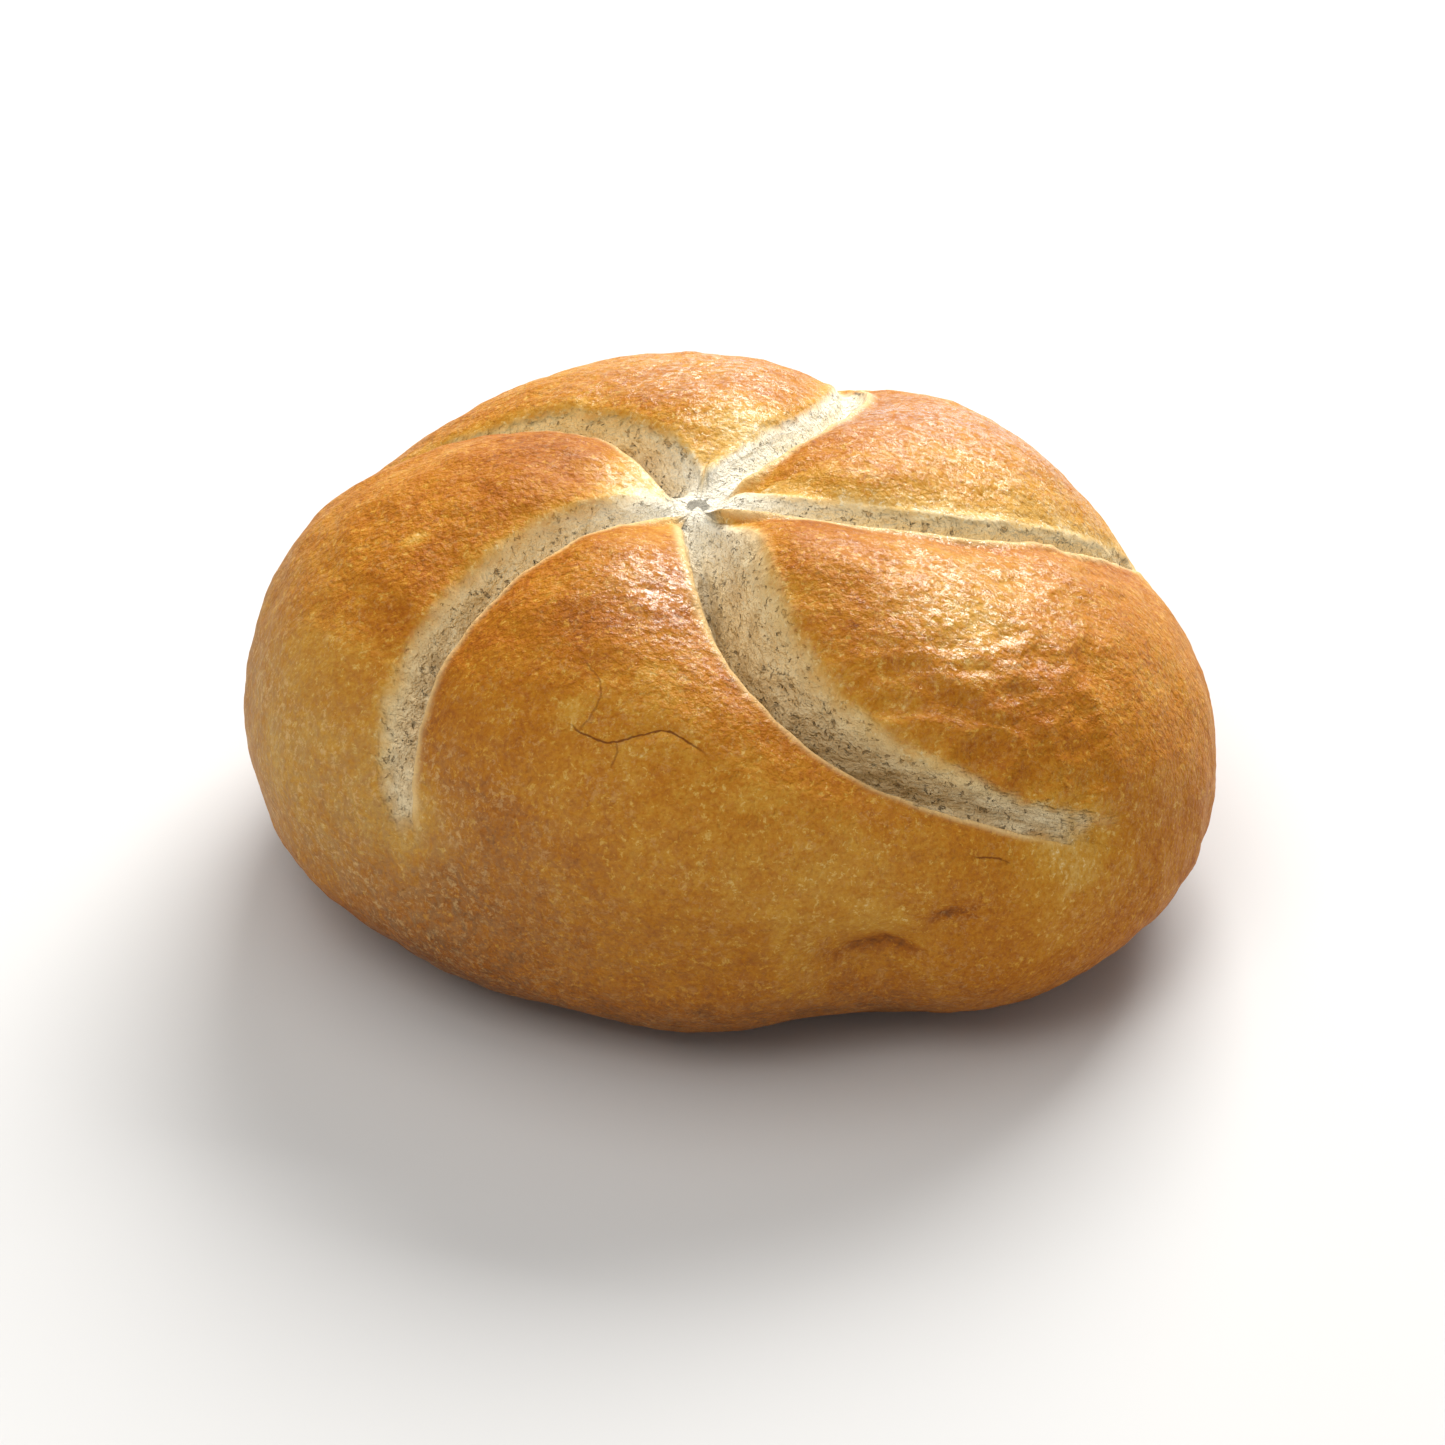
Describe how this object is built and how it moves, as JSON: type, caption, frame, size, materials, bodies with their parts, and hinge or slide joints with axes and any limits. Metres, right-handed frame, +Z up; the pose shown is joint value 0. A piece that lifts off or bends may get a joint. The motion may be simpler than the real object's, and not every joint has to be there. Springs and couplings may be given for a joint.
{
  "type": "kaiser roll",
  "caption": "Round baked bread roll with a crusty domed top, parted by curved cuts that meet off centre, on a flat foot.",
  "frame": {"origin": "middle of the bounding box, at the bottom, on the plane the foot rests on", "axes": "+Z up, the roll's shortest extent; the side with the long wide cut faces -Y"},
  "size_m": [0.0992, 0.1006, 0.0467],
  "materials": {
    "crust": "baked golden brown crust, slightly glossy, with pale matte crumb inside the cuts"
  },
  "bodies": {
    "root": {"kaiser_roll": "crust"}
  },
  "joints": []
}
